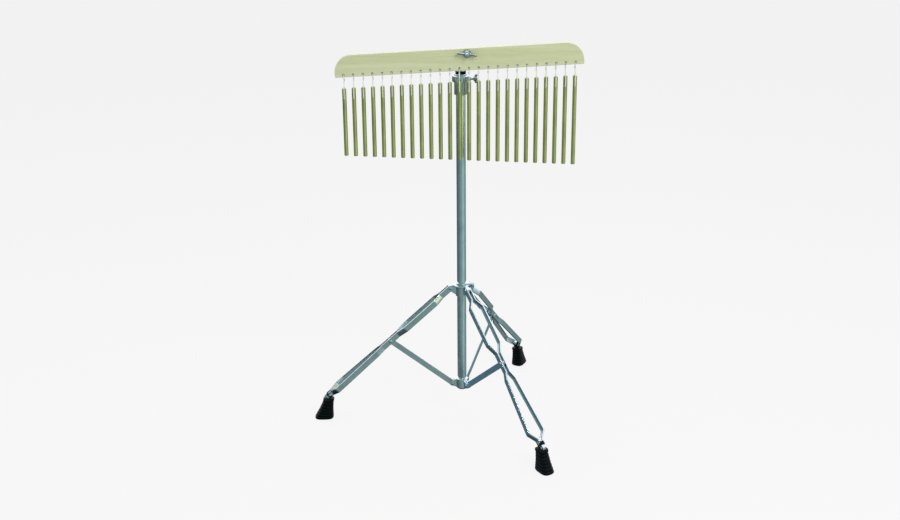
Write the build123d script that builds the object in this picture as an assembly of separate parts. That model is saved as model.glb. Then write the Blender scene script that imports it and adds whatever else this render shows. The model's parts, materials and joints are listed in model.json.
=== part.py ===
"""Bar chimes on a folding tripod stand.

Twenty-five solid metal bars hang on cord loops from a wooden mantle board. One bolt and wing nut hold
the board to a small split clamp on a rod. The rod's tube telescopes in the stand's base tube, and three
double-strap legs with braces fold up against that tube.

Units are millimetres and +Z is up. The origin is the centre of the object's footprint on the floor. Every
piece is drawn round the stand's own axis and moved to its place at the end.
"""

from build123d import *
import math
import os

# ---------------------------------------------------------------- driving dimensions
AXIS_X, AXIS_Y = 46.0, -6.7  # the stand's axis, measured from the centre of the footprint

# tubes
BASE_R, BASE_WALL = 11.1, 1.4
BASE_BOTTOM, BASE_TOP = 76.0, 845.0
INNER_R, INNER_WALL = 9.5, 1.2
INNER_BOTTOM, INNER_TOP = 398.0, 892.0
SLIDE_GAP = 0.08  # radial gap of everything that slides or turns on a shaft

# height clamp at the top of the base tube
CLAMP_BODY_R, CLAMP_BAND_R = 15.2, 19.8
CLAMP_BOTTOM, CLAMP_BAND_BOTTOM, CLAMP_TOP = 822.0, 852.0, 866.0
CLAMP_LIP_R, CLAMP_LIP_HEIGHT = 15.2, 4.0
BUSHING_HEAD_R, BUSHING_HEAD_TOP = 12.4, 876.5
CLAMP_SCREW_Z = 858.0

# tripod
TRIPOD_YAW = 2.2
LEG_AZIMUTHS = {"a": 180.0 + TRIPOD_YAW, "b": -60.0 + TRIPOD_YAW, "c": 60.0 + TRIPOD_YAW}
LEG_PIVOT_R, LEG_PIVOT_Z = 28.0, 344.0
LEG_ANGLE = 47.5  # from the vertical, with the tripod open
BRACE_ON_LEG = 203.0  # from the leg's pivot to the brace's rivet, along the leg
BRACE_PIVOT_R, BRACE_PIVOT_Z = 24.8, 88.3
STRAP_WIDTH, STRAP_THICKNESS = 14.4, 3.2
LEG_LENGTH = 414.0  # from the leg's pivot to the foot rivet
LUG_THICKNESS = 7.0
RIVET_R, RIVET_HEAD_R, RIVET_HEAD = 2.5, 4.4, 1.6
BRACE_WIDTH, BRACE_THICKNESS = 14.0, 3.0

# leg collar and brace collar
COLLAR_R, COLLAR_FLANGE_R = 14.5, 19.5
COLLAR_BOTTOM, COLLAR_FLANGE_BOTTOM, COLLAR_FLANGE_TOP, COLLAR_TOP = 324.0, 347.5, 352.0, 357.0
COLLAR_SCREW_Z = 350.5
BRACE_COLLAR_R = 15.0
BRACE_COLLAR_BOTTOM, BRACE_COLLAR_TOP = 77.0, 101.0

# feet
FOOT_SOLE = (44.0, 31.0)
FOOT_SOLE_R = 350.0
FOOT_NECK = (24.0, 23.0)
FOOT_NECK_R = 336.5
FOOT_HEIGHT = 54.0
STEM_R = 5.6
STEM_LOW_R, STEM_LOW = 341.0, 24.0
STEM_HIGH_R, STEM_HIGH = 338.3, 56.2

# mantle board, in its own plane: along the board and up from its lower edge
BOARD_LENGTH, BOARD_HEIGHT, BOARD_THICKNESS = 567.0, 50.0, 12.0
BOARD_CORNER_R = 40.0
BOARD_CENTRE_X, BOARD_LOW_Z = -3.0, 882.9
BOARD_Y = -32.0  # the board's middle plane, in front of the stand's axis
BOARD_ROLL = 2.8  # the end towards +X sits higher
HOLE_UP, HOLE_R, HOLE_BEVEL = 6.0, 1.8, 0.8

# chimes
CHIMES = 25
PITCH = 22.0
BAR_R = 4.75
BAR_SHORTEST, BAR_STEP = 158.0, 2.1
BAR_DROP = 31.5  # from the board's hole down to the bar's top
BAR_HOLE_DOWN, BAR_HOLE_R, BAR_HOLE_BEVEL = 24.0, 1.6, 0.8
BAR_CHAMFER = 0.8
CORD_R, CORD_BEND = 0.75, 1.4
CORD_GAP, CORD_BOARD_GAP = 0.15, 0.3
KNOT_R, KNOT_DOWN = 1.7, 13.0

# mantle fixing
BOLT_X, BOLT_Z = 14.0, 921.5
BOLT_R, BOLT_HOLE_R = 3.9, 4.2
BOLT_HEAD_R, BOLT_HEAD_HEIGHT = 6.4, 4.0
ROD_R, ROD_TOP = 4.75, 927.0
BLOCK_BACK, BLOCK_FRONT = 9.5, -24.3
BLOCK_BOTTOM, BLOCK_TOP = 911.0, 928.0
PAD_R = 10.5
WASHER_R, WASHER_THICKNESS = 9.5, 1.6
WING_SPAN = 46.0
WING_TURN = 7.5

TURN_GAP = 0.1  # between flat faces that turn on each other
ROUND = (1.0, 0.6, 0.3)  # edge radii tried in turn
FROM_BASE = (Align.CENTER, Align.CENTER, Align.MIN)  # round solids that stand on their base


# ---------------------------------------------------------------- helpers
def rod_between(start, end, radius):
    """A cylinder from one point to another."""
    start, end = Vector(*start), Vector(*end)
    line = end - start
    plane = Plane(origin=start, z_dir=line)
    return plane * Cylinder(radius, line.length, align=FROM_BASE)


def ring(outer, inner, low, high):
    """A tube on the stand's axis."""
    height = high - low
    place = Pos(0, 0, low)
    return place * Cylinder(outer, height, align=FROM_BASE) - place * Cylinder(inner, height, align=FROM_BASE)


def block(x, y, z):
    """A box given by its span along each axis."""
    size = [b - a for a, b in (x, y, z)]
    return Pos(x[0], y[0], z[0]) * Box(*size, align=(Align.MIN, Align.MIN, Align.MIN))


def hull_of(*sketches):
    """The outline stretched round several sketches."""
    return make_hull([edge for sketch in sketches for edge in sketch.edges()])


def outer_rims(solid, bore):
    """The round edges of a ring that lie outside its bore."""
    return solid.edges().filter_by(lambda e: e.geom_type == GeomType.CIRCLE and e.radius > bore + 1)


def soften(solid, edges, radii=ROUND):
    """Rounds the edges with the largest radius that the shape takes."""
    for radius in radii:
        try:
            rounded = fillet(edges, radius)
        except Exception:
            continue
        if rounded.is_valid and len(rounded.solids()) == len(solid.solids()):
            return rounded
    return solid


def rivet(points_y, centre, radius=RIVET_R):
    """A rivet along Y through centre, with a domed head outside each end of points_y."""
    low, high = points_y
    x, z = centre
    shank = rod_between((x, low, z), (x, high, z), radius)
    heads = [dome((x, low, z), -1), dome((x, high, z), 1)]
    return shank + heads[0] + heads[1]


def dome(base, sign, radius=RIVET_HEAD_R, height=RIVET_HEAD):
    """A low domed head standing on base, pointing along sign times Y."""
    sphere_r = (radius**2 + height**2) / (2 * height)
    x, y, z = base
    ball = Pos(x, y - sign * (sphere_r - height), z) * Sphere(sphere_r)
    span = radius + 1
    half = block((x - span, x + span), sorted((y, y + sign * span)), (z - span, z + span))
    return ball & half


def wing_screw(axis_point, reach, shank_r, wing_r, hub_r, hub_length, wing_thickness):
    """A wing screw along +X: a shank from axis_point, as long as reach, and a hub with two wings along Z."""
    x, y, z = axis_point
    hub_start = x + reach
    shank = rod_between((x, y, z), (hub_start + 1, y, z), shank_r)
    hub = Plane(origin=(hub_start, y, z), z_dir=(1, 0, 0)) * Cone(
        hub_r, hub_r * 0.72, hub_length, align=FROM_BASE
    )
    wings = wing_pair(wing_r, hub_length, wing_thickness)
    return shank + hub + Pos(hub_start, y, z) * wings


def wing_pair(wing_r, hub_length, thickness):
    """Two rounded wings along Z, flaring along +X, centred on the origin."""
    tip = wing_r * 0.36
    profile = hull_of(
        Pos(hub_length * 0.35, 0) * Circle(hub_length * 0.3),
        Pos(hub_length * 0.85, wing_r - tip) * Circle(tip),
    )
    # The profile's X is the screw's axis and its Y runs along the wing.
    upright = Plane.XZ * extrude(profile, thickness / 2, both=True)
    return upright + mirror(upright, Plane.XY)


# ---------------------------------------------------------------- tubes and height clamp
def base_tube():
    return ring(BASE_R, BASE_R - BASE_WALL, BASE_BOTTOM, BASE_TOP)


def tube_end_plug():
    """A plastic plug with a thin lip that closes the base tube's lower end."""
    inside = BASE_R - BASE_WALL
    lip, length = 2.5, 16.0
    plug = Pos(0, 0, BASE_BOTTOM - lip) * Cylinder(BASE_R, lip, align=FROM_BASE)
    plug += Pos(0, 0, BASE_BOTTOM) * Cylinder(inside, length, align=FROM_BASE)
    return soften(plug, plug.edges().group_by(Axis.Z)[0])


def height_clamp():
    """A cast sleeve with a thicker band, a lip round the bushing's head and a boss for the wing screw."""
    body = ring(CLAMP_BODY_R, BASE_R, CLAMP_BOTTOM, CLAMP_BAND_BOTTOM + 1)
    body = soften(body, body.edges().group_by(Axis.Z)[0].filter_by(lambda e: e.radius > BASE_R + 1))
    band = ring(CLAMP_BAND_R, BASE_R, CLAMP_BAND_BOTTOM, CLAMP_TOP)
    band = soften(band, outer_rims(band, BASE_R))
    lip = ring(CLAMP_LIP_R, BUSHING_HEAD_R, CLAMP_TOP, CLAMP_TOP + CLAMP_LIP_HEIGHT)
    lip = soften(lip, lip.edges().group_by(Axis.Z)[-1].filter_by(lambda e: e.radius > BUSHING_HEAD_R + 1))
    boss_r, boss_end = 6.2, 23.0
    boss = rod_between((BASE_R + 2, 0, CLAMP_SCREW_Z), (boss_end, 0, CLAMP_SCREW_Z), boss_r)
    thread = rod_between((0, 0, CLAMP_SCREW_Z), (boss_end + 1, 0, CLAMP_SCREW_Z), 3.0 + SLIDE_GAP)
    return body + band + lip + boss - thread


def clamp_bushing():
    """A nylon bushing that guides the inner tube, with a stepped head above the clamp."""
    bore = INNER_R + SLIDE_GAP
    sleeve = ring(BASE_R, bore, BASE_TOP, CLAMP_TOP)
    head = ring(BUSHING_HEAD_R, bore, CLAMP_TOP, BUSHING_HEAD_TOP)
    head = soften(head, head.edges().group_by(Axis.Z)[-1].filter_by(lambda e: e.radius > bore + 1))
    groove = ring(BUSHING_HEAD_R + 1, BUSHING_HEAD_R - 0.9, CLAMP_TOP + 6.4, CLAMP_TOP + 7.6)
    window = rod_between((0, 0, CLAMP_SCREW_Z), (BASE_R + 1, 0, CLAMP_SCREW_Z), 3.4)
    return sleeve + head - groove - window


def clamp_wing_screw():
    start = INNER_R + 0.3
    return wing_screw((start, 0, CLAMP_SCREW_Z), 20.0, 3.0, 10.8, 5.2, 9.0, 4.6)


def inner_tube():
    return ring(INNER_R, INNER_R - INNER_WALL, INNER_BOTTOM, INNER_TOP)


def mantle_rod():
    """A solid rod turned in one piece with the plug that closes the inner tube's top."""
    inside = INNER_R - INNER_WALL
    plug_low, shoulder = INNER_TOP - 24, 4.0
    rod = Pos(0, 0, plug_low) * Cylinder(inside, INNER_TOP - plug_low, align=FROM_BASE)
    rod += Pos(0, 0, INNER_TOP) * Cone(INNER_R, ROD_R + 1.6, shoulder, align=FROM_BASE)
    rod += Pos(0, 0, INNER_TOP) * Cylinder(ROD_R, ROD_TOP - INNER_TOP, align=FROM_BASE)
    return soften(rod, rod.edges().group_by(Axis.Z)[-1])


# ---------------------------------------------------------------- tripod
def on_leg(along, across=0.0):
    """A point on the leg's line, in the plane of a leg that points along +X."""
    angle = math.radians(LEG_ANGLE)
    return (LEG_PIVOT_R + along * math.sin(angle), across, LEG_PIVOT_Z - along * math.cos(angle))


def leg_plane():
    """The plane that a leg's straps are bent in: X along the leg and Y across it."""
    angle = math.radians(LEG_ANGLE)
    along = Vector(math.sin(angle), 0, -math.cos(angle))
    return Plane(origin=on_leg(0), x_dir=along, z_dir=along.cross(Vector(0, 1, 0)))


def leg_collar():
    """The sliding collar: a sleeve with a flange, three hinge lugs and a boss for its lock screw."""
    bore = BASE_R + SLIDE_GAP
    sleeve = ring(COLLAR_R, bore, COLLAR_BOTTOM, COLLAR_TOP)
    flange = ring(COLLAR_FLANGE_R, bore, COLLAR_FLANGE_BOTTOM, COLLAR_FLANGE_TOP)
    flange = soften(flange, outer_rims(flange, bore))
    body = sleeve + flange
    lug_end = 7.0
    outline = hull_of(
        Pos(LEG_PIVOT_R, LEG_PIVOT_Z) * Circle(lug_end),
        Pos(COLLAR_R - 2, COLLAR_BOTTOM + 3) * Circle(1.0),
        Pos(COLLAR_R - 2, COLLAR_FLANGE_TOP - 1.5) * Circle(1.0),
    )
    for azimuth in LEG_AZIMUTHS.values():
        lug = Plane.XZ * extrude(outline, LUG_THICKNESS / 2, both=True)
        hole = rod_between((LEG_PIVOT_R, -9, LEG_PIVOT_Z), (LEG_PIVOT_R, 9, LEG_PIVOT_Z), RIVET_R + SLIDE_GAP)
        body += Rot(0, 0, azimuth) * (lug - hole)
    boss_end = 22.0
    turn = Rot(0, 0, TRIPOD_YAW)
    body += turn * rod_between((bore + 1.5, 0, COLLAR_SCREW_Z), (boss_end, 0, COLLAR_SCREW_Z), 5.8)
    body -= turn * rod_between((0, 0, COLLAR_SCREW_Z), (boss_end + 1, 0, COLLAR_SCREW_Z), 3.0 + SLIDE_GAP)
    body -= Pos(0, 0, COLLAR_BOTTOM - 1) * Cylinder(
        bore, COLLAR_TOP - COLLAR_BOTTOM + 2, align=FROM_BASE
    )
    return body


def collar_wing_screw():
    """The collar's lock screw, with its wings lying level."""
    start = BASE_R + 0.3
    screw = wing_screw((start, 0, 0), 11.6, 3.0, 9.5, 4.6, 7.5, 4.2)
    return Rot(0, 0, TRIPOD_YAW) * Pos(0, 0, COLLAR_SCREW_Z) * Rot(90, 0, 0) * screw


def leg_strap(side):
    """One of a leg's two bent straps. It bows out twice between its three riveted places."""
    close = LUG_THICKNESS / 2 + 0.1 + STRAP_THICKNESS / 2
    route = [
        (-STRAP_WIDTH, close),
        (30.0, close),
        (50.0, 17.2),
        (150.0, 17.2),
        (176.0, close),
        (228.0, close),
        (247.0, 12.0),
        (386.0, 21.0),
        (405.0, close),
        (LEG_LENGTH + STRAP_WIDTH, close),
    ]
    bend = 7.0
    line = FilletPolyline(*[(t, side * n) for t, n in route], radius=bend)
    outline = make_face(offset(line, amount=STRAP_THICKNESS / 2, side=Side.BOTH))
    bar = extrude(outline, STRAP_WIDTH / 2, both=True)
    # The strip's ends are rounded about its first and last rivets.
    half = STRAP_WIDTH / 2
    plan = Pos(LEG_LENGTH / 2, 0) * SlotOverall(LEG_LENGTH + STRAP_WIDTH, STRAP_WIDTH)
    trim = Plane.XZ * extrude(plan, 40, both=True)
    bar = bar & trim
    for along in (0.0, BRACE_ON_LEG, LEG_LENGTH):
        bar -= Plane.XZ.shift_origin((along, 0, 0)) * Cylinder(RIVET_R, 90)
    long_edges = bar.edges().filter_by(lambda e: e.length > 3 and abs(abs(e.center().Z) - half) < 0.01)
    bar = soften(bar, long_edges, (0.9, 0.5))
    return leg_plane() * bar


def leg_rivets():
    """The pivot pin at the collar, two short rivets that carry the brace, and the foot rivet."""
    outer = LUG_THICKNESS / 2 + 0.1 + STRAP_THICKNESS
    inner = LUG_THICKNESS / 2 + 0.1
    top, middle, tip = on_leg(0), on_leg(BRACE_ON_LEG), on_leg(LEG_LENGTH)
    pieces = [rivet((-outer, outer), (top[0], top[2]))]
    stub_gap = BRACE_THICKNESS / 2 + 0.5
    for sign in (-1, 1):
        start, seat, end = [(middle[0], sign * y, middle[2]) for y in (stub_gap, inner, outer)]
        stub = rod_between(start, end, RIVET_R) + rod_between(start, seat, RIVET_HEAD_R)
        pieces.append(stub + dome(end, sign))
    pieces.append(rivet((-outer, outer), (tip[0], tip[2])))
    return pieces


def foot_stem():
    """The tongue between the straps' ends, with a round stem that goes down into the foot."""
    half = LUG_THICKNESS / 2 + 0.1
    tongue = Pos(LEG_LENGTH + 2, 0) * SlotOverall(32, 11.5)
    flat = leg_plane() * Plane.XZ * extrude(tongue, half, both=True)
    tip = on_leg(LEG_LENGTH)
    hole = rod_between((tip[0], -9, tip[2]), (tip[0], 9, tip[2]), RIVET_R)
    stem = rod_between((STEM_LOW_R, 0, STEM_LOW), (STEM_HIGH_R, 0, STEM_HIGH), STEM_R)
    return flat + stem - hole


def foot():
    """A flared rubber boot. Its sole is flat on the floor, and it is pushed over the stem."""
    levels = [
        (0.0, FOOT_SOLE_R, FOOT_SOLE, 6.0),
        (5.0, FOOT_SOLE_R - 0.6, FOOT_SOLE, 6.0),
        (26.0, 343.5, (32.0, 26.0), 7.0),
        (FOOT_HEIGHT - 8, 338.0, FOOT_NECK, 8.0),
        (FOOT_HEIGHT, FOOT_NECK_R, FOOT_NECK, 8.0),
    ]
    faces = [Pos(r, 0, z) * RectangleRounded(*size, corner) for z, r, size, corner in levels]
    body = loft(Sketch() + faces, ruled=True)
    lip = Pos(FOOT_NECK_R, 0, FOOT_HEIGHT - 7) * extrude(RectangleRounded(27.0, 25.5, 9.0), 6.0)
    body = body + lip
    return body - foot_stem()


def leg_pieces():
    """A leg's pieces for a leg that points along +X, by the end of their names."""
    rivets = leg_rivets()
    return {
        "left_strap": leg_strap(-1),
        "right_strap": leg_strap(1),
        "rivets": Compound(children=rivets),
        "foot_stem": foot_stem(),
        "foot": foot(),
    }


def brace():
    """The flat strip from the brace collar to the middle of a leg."""
    top = on_leg(BRACE_ON_LEG)
    run = Vector(top[0] - BRACE_PIVOT_R, 0, top[2] - BRACE_PIVOT_Z)
    strip = Pos(run.length / 2, 0) * SlotOverall(run.length + BRACE_WIDTH, BRACE_WIDTH)
    bar = extrude(strip, BRACE_THICKNESS / 2, both=True)
    rims = bar.edges().group_by(Axis.Z)
    bar = soften(bar, rims[0] + rims[-1], (0.6, 0.3))
    for along in (0.0, run.length):
        bar -= Pos(along, 0, 0) * Cylinder(RIVET_R + SLIDE_GAP, 10)
    return Plane(origin=(BRACE_PIVOT_R, 0, BRACE_PIVOT_Z), x_dir=run, z_dir=(0, 1, 0)) * bar


def brace_collar():
    """The collar fixed on the base tube's lower end, with a forked lug for each brace."""
    body = ring(BRACE_COLLAR_R, BASE_R, BRACE_COLLAR_BOTTOM, BRACE_COLLAR_TOP)
    body = soften(body, outer_rims(body, BASE_R))
    gap = BRACE_THICKNESS / 2 + 0.3
    ear = 2.6
    outline = hull_of(
        Pos(BRACE_PIVOT_R, BRACE_PIVOT_Z) * Circle(6.8),
        Pos(BRACE_COLLAR_R - 2, BRACE_COLLAR_BOTTOM + 2) * Circle(1.0),
        Pos(BRACE_COLLAR_R - 2, BRACE_COLLAR_TOP - 2.5) * Circle(1.0),
    )
    slot_depth = BRACE_PIVOT_R - BRACE_WIDTH / 2 - 0.4
    for azimuth in LEG_AZIMUTHS.values():
        lug = Plane.XZ * extrude(outline, gap + ear, both=True)
        lug -= block((slot_depth, 60), (-gap, gap), (0, 200))
        lug -= rod_between((BRACE_PIVOT_R, -9, BRACE_PIVOT_Z), (BRACE_PIVOT_R, 9, BRACE_PIVOT_Z), RIVET_R)
        body += Rot(0, 0, azimuth) * lug
    body -= Cylinder(BASE_R, 400, align=FROM_BASE)
    return body


def brace_pins():
    """The three rivets of the brace collar."""
    outer = BRACE_THICKNESS / 2 + 0.3 + 2.6
    pin = rivet((-outer, outer), (BRACE_PIVOT_R, BRACE_PIVOT_Z))
    return Compound(children=[Rot(0, 0, azimuth) * pin for azimuth in LEG_AZIMUTHS.values()])


# ---------------------------------------------------------------- mantle and chimes
def board_point(along, up):
    """A point of the board's plane, given from the middle of its lower edge, as (x, z)."""
    angle = math.radians(BOARD_ROLL)
    x = BOARD_CENTRE_X + along * math.cos(angle) - up * math.sin(angle)
    z = BOARD_LOW_Z + along * math.sin(angle) + up * math.cos(angle)
    return x, z


def chime_hole(number):
    """The board's hole for a chime, as (x, z). Number 1 is the shortest chime, at -X."""
    return board_point((number - (CHIMES + 1) / 2) * PITCH, HOLE_UP)


def mantle_board():
    front, back = BOARD_Y - BOARD_THICKNESS / 2, BOARD_Y + BOARD_THICKNESS / 2
    outline = Pos(0, BOARD_HEIGHT / 2) * Rectangle(BOARD_LENGTH, BOARD_HEIGHT)
    upper = outline.vertices().group_by(Axis.Y)[-1]
    outline = fillet(upper, BOARD_CORNER_R)
    outline = fillet(outline.vertices().group_by(Axis.Y)[0], 2.0)
    plane = Plane(origin=(BOARD_CENTRE_X, back, BOARD_LOW_Z), x_dir=(1, 0, 0), z_dir=(0, -1, 0))
    board = plane * Rot(0, 0, BOARD_ROLL) * extrude(outline, BOARD_THICKNESS)
    rim = board.edges().filter_by(lambda e: min(abs(e.center().Y - front), abs(e.center().Y - back)) < 0.01)
    board = soften(board, rim, (1.2, 0.8, 0.4))
    for number in range(1, CHIMES + 1):
        x, z = chime_hole(number)
        board -= rod_between((x, front - 1, z), (x, back + 1, z), HOLE_R)
        for face, direction in ((front, 1), (back, -1)):
            plane = Plane(origin=(x, face, z), z_dir=(0, direction, 0))
            board -= plane * Cone(HOLE_R + HOLE_BEVEL, HOLE_R, HOLE_BEVEL, align=FROM_BASE)
    board -= rod_between((BOLT_X, front - 1, BOLT_Z), (BOLT_X, back + 1, BOLT_Z), BOLT_HOLE_R)
    return board


def bar_length(number):
    return BAR_SHORTEST + BAR_STEP * (number - 1)


def chime_bar(number):
    """A solid bar with chamfered ends and a cross hole for its cord."""
    x, z = chime_hole(number)
    top, length = z - BAR_DROP, bar_length(number)
    bar = rod_between((x, BOARD_Y, top - length), (x, BOARD_Y, top), BAR_R)
    bar = chamfer(bar.edges().filter_by(GeomType.CIRCLE), BAR_CHAMFER)
    hole_z = top - BAR_HOLE_DOWN
    bar -= rod_between((x, BOARD_Y - 9, hole_z), (x, BOARD_Y + 9, hole_z), BAR_HOLE_R)
    for sign in (-1, 1):
        plane = Plane(origin=(x, BOARD_Y + sign * BAR_R, hole_z), z_dir=(0, -sign, 0))
        bar -= plane * Cone(BAR_HOLE_R + BAR_HOLE_BEVEL, BAR_HOLE_R, BAR_HOLE_BEVEL, align=FROM_BASE)
    return bar


def chime_cord(number):
    """A chime's cord loop, through the board's hole and the bar's, and tied at the back."""
    x, z = chime_hole(number)
    low = z - BAR_DROP - BAR_HOLE_DOWN + BAR_HOLE_R - CORD_R - CORD_GAP
    high = z - HOLE_R + CORD_R + CORD_GAP
    by_board = BOARD_THICKNESS / 2 + CORD_R + CORD_BOARD_GAP
    by_bar = BAR_R + CORD_R + CORD_GAP
    knot_z = z - KNOT_DOWN
    split = 0.6
    route = [
        (x, BOARD_Y + by_board, knot_z - split),
        (x, BOARD_Y + by_bar, low),
        (x, BOARD_Y - by_bar, low),
        (x, BOARD_Y - by_board, high),
        (x, BOARD_Y + by_board, high),
        (x, BOARD_Y + by_board, knot_z + split),
    ]
    line = FilletPolyline(*route, radius=CORD_BEND)
    section = Plane(origin=line @ 0, z_dir=line % 0) * Circle(CORD_R)
    loop = sweep(section, path=line)
    return loop + Pos(x, BOARD_Y + by_board, knot_z) * Sphere(KNOT_R)


def chime(number):
    """A bar and its cord loop, as two separate solids."""
    return Compound(children=[chime_bar(number), chime_cord(number)])


# ---------------------------------------------------------------- mantle fixing
def mantle_clamp():
    """A split clamp on the rod. The bolt beside the rod closes the slit and carries the board."""
    ring_r = 9.5
    plan = hull_of(
        Circle(ring_r),
        Pos(BOLT_X + 6, BLOCK_BACK - 3) * Circle(3.0),
        Pos(BOLT_X + 6, -ring_r + 3) * Circle(3.0),
    )
    body = Pos(0, 0, BLOCK_BOTTOM) * extrude(plan, BLOCK_TOP - BLOCK_BOTTOM)
    body = soften(body, body.edges().filter_by(Plane.XY), (1.2, 0.8, 0.4))
    boss_r = (BLOCK_TOP - BLOCK_BOTTOM) / 2
    middle = (BLOCK_TOP + BLOCK_BOTTOM) / 2
    boss = rod_between((BOLT_X, -ring_r + 4, middle), (BOLT_X, BLOCK_FRONT, middle), boss_r)
    boss = soften(boss, boss.edges().group_by(Axis.Y)[0])
    body += boss
    body -= Pos(0, 0, BLOCK_BOTTOM - 1) * Cylinder(ROD_R + SLIDE_GAP, 40, align=FROM_BASE)
    body -= block((0, BOLT_X + 20), (-0.9, 0.9), (BLOCK_BOTTOM - 1, BLOCK_TOP + 1))
    body -= rod_between((BOLT_X, BLOCK_FRONT - 1, BOLT_Z), (BOLT_X, BLOCK_BACK + 1, BOLT_Z), BOLT_HOLE_R)
    return body


def mantle_bolt():
    """The bolt: a domed head behind the clamp, and a shank through clamp, board, washer and wing nut."""
    shank_end = BOARD_Y - BOARD_THICKNESS / 2 - 19.0
    bolt = rod_between((BOLT_X, BLOCK_BACK, BOLT_Z), (BOLT_X, shank_end, BOLT_Z), BOLT_R)
    bolt = soften(bolt, bolt.edges().group_by(Axis.Y)[0], (0.9, 0.5))
    return bolt + dome((BOLT_X, BLOCK_BACK, BOLT_Z), 1, BOLT_HEAD_R, BOLT_HEAD_HEIGHT)


def mantle_pad():
    """A rubber disc between the clamp's boss and the board."""
    back = BOARD_Y + BOARD_THICKNESS / 2
    return disc(BLOCK_FRONT - TURN_GAP, back, PAD_R)


def disc(y_high, y_low, radius):
    """A washer on the bolt."""
    body = rod_between((BOLT_X, y_high, BOLT_Z), (BOLT_X, y_low, BOLT_Z), radius)
    return body - rod_between((BOLT_X, y_high + 1, BOLT_Z), (BOLT_X, y_low - 1, BOLT_Z), BOLT_HOLE_R)


def washer():
    front = BOARD_Y - BOARD_THICKNESS / 2
    plate = disc(front, front - WASHER_THICKNESS, WASHER_R)
    rim = plate.edges().group_by(Axis.Y)[0].filter_by(lambda e: e.radius > BOLT_HOLE_R + 1)
    return soften(plate, rim, (0.4,))


def wing_nut():
    """The wing nut on the board's front, with its wings nearly level."""
    seat = BOARD_Y - BOARD_THICKNESS / 2 - WASHER_THICKNESS - TURN_GAP
    hub_length = 11.0
    hub = Cone(8.2, 6.2, hub_length, align=FROM_BASE)
    hub = soften(hub, hub.edges().filter_by(GeomType.CIRCLE), (0.9, 0.5))
    wings = Rot(0, -90, 0) * wing_pair(WING_SPAN / 2, hub_length, 4.4)
    nut = hub + wings - Cylinder(BOLT_R + SLIDE_GAP, 40)
    # The nut's own +Z points away from the board, which is -Y here, and its wings lie along X.
    return Pos(BOLT_X, seat, BOLT_Z) * Rot(0, WING_TURN, 0) * Rot(90, 0, 0) * nut


# ---------------------------------------------------------------- all pieces
def all_parts():
    parts = {
        "base_tube": base_tube(),
        "tube_end_plug": tube_end_plug(),
        "height_clamp": height_clamp(),
        "clamp_bushing": clamp_bushing(),
        "clamp_wing_screw": clamp_wing_screw(),
        "inner_tube": inner_tube(),
        "mantle_rod": mantle_rod(),
        "leg_collar": leg_collar(),
        "collar_wing_screw": collar_wing_screw(),
        "brace_collar": brace_collar(),
        "brace_pins": brace_pins(),
        "mantle_clamp": mantle_clamp(),
        "mantle_bolt": mantle_bolt(),
        "mantle_pad": mantle_pad(),
        "mantle_board": mantle_board(),
        "mantle_washer": washer(),
        "mantle_wing_nut": wing_nut(),
    }
    leg, strip = leg_pieces(), brace()
    for letter, azimuth in LEG_AZIMUTHS.items():
        turn = Rot(0, 0, azimuth)
        for name, piece in leg.items():
            parts[f"leg_{letter}_{name}"] = turn * piece
        parts[f"brace_{letter}"] = turn * strip
    for number in range(1, CHIMES + 1):
        parts[f"chime_{number:02d}"] = chime(number)
    return parts


def main():
    os.makedirs("parts", exist_ok=True)
    place = Pos(AXIS_X, AXIS_Y, 0)
    for name, shape in all_parts().items():
        export_step(place * shape, f"parts/{name}.step")


if __name__ == "__main__":
    main()
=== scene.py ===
"""Bar chimes on a folding tripod stand: the looks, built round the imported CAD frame. Units are metres."""

import json
import math

import bmesh
import bpy
from mathutils import Matrix, Vector


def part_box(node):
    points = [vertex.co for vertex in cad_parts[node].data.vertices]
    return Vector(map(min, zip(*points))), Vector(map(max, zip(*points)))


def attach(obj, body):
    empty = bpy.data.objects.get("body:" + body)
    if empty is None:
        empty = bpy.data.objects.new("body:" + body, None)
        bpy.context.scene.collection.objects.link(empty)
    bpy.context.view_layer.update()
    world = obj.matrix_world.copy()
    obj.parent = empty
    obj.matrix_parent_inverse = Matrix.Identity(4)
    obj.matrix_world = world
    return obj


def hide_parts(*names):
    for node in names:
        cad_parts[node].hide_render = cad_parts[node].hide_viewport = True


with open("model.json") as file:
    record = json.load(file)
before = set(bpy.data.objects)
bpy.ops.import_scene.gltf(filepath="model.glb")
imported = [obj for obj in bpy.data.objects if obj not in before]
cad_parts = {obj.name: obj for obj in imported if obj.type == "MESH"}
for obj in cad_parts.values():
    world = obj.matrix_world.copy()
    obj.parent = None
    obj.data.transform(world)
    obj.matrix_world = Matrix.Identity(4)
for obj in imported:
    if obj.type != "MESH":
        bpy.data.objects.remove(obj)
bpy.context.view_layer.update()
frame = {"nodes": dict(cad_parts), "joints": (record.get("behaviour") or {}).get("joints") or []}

MM = 0.001

# ---------------------------------------------------------------- driving dimensions, as in the CAD
BASE_R, BASE_WALL = 11.1 * MM, 1.4 * MM
INNER_R, INNER_WALL = 9.5 * MM, 1.2 * MM
TRIPOD_YAW = math.radians(2.2)
LEG_ANGLE = math.radians(47.5)
LEG_AZIMUTHS = {"a": math.pi + TRIPOD_YAW, "b": -math.pi / 3 + TRIPOD_YAW, "c": math.pi / 3 + TRIPOD_YAW}
LEG_LENGTH = 414.0 * MM
STRAP_WIDTH, STRAP_DEPTH, STRAP_SHEET = 14.4 * MM, 3.2 * MM, 1.3 * MM
STRAP_BEND = 7.0 * MM
STRAP_CLOSE = 5.2 * MM  # half the distance between a leg's straps where they are riveted
# Corners of a strap: distance along the leg, and half the distance between the straps, None where riveted.
STRAP_ROUTE = [(0.030, None), (0.050, 0.0172), (0.150, 0.0172), (0.176, None), (0.228, None),
               (0.247, 0.0120), (0.386, 0.0210), (0.405, None)]

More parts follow.
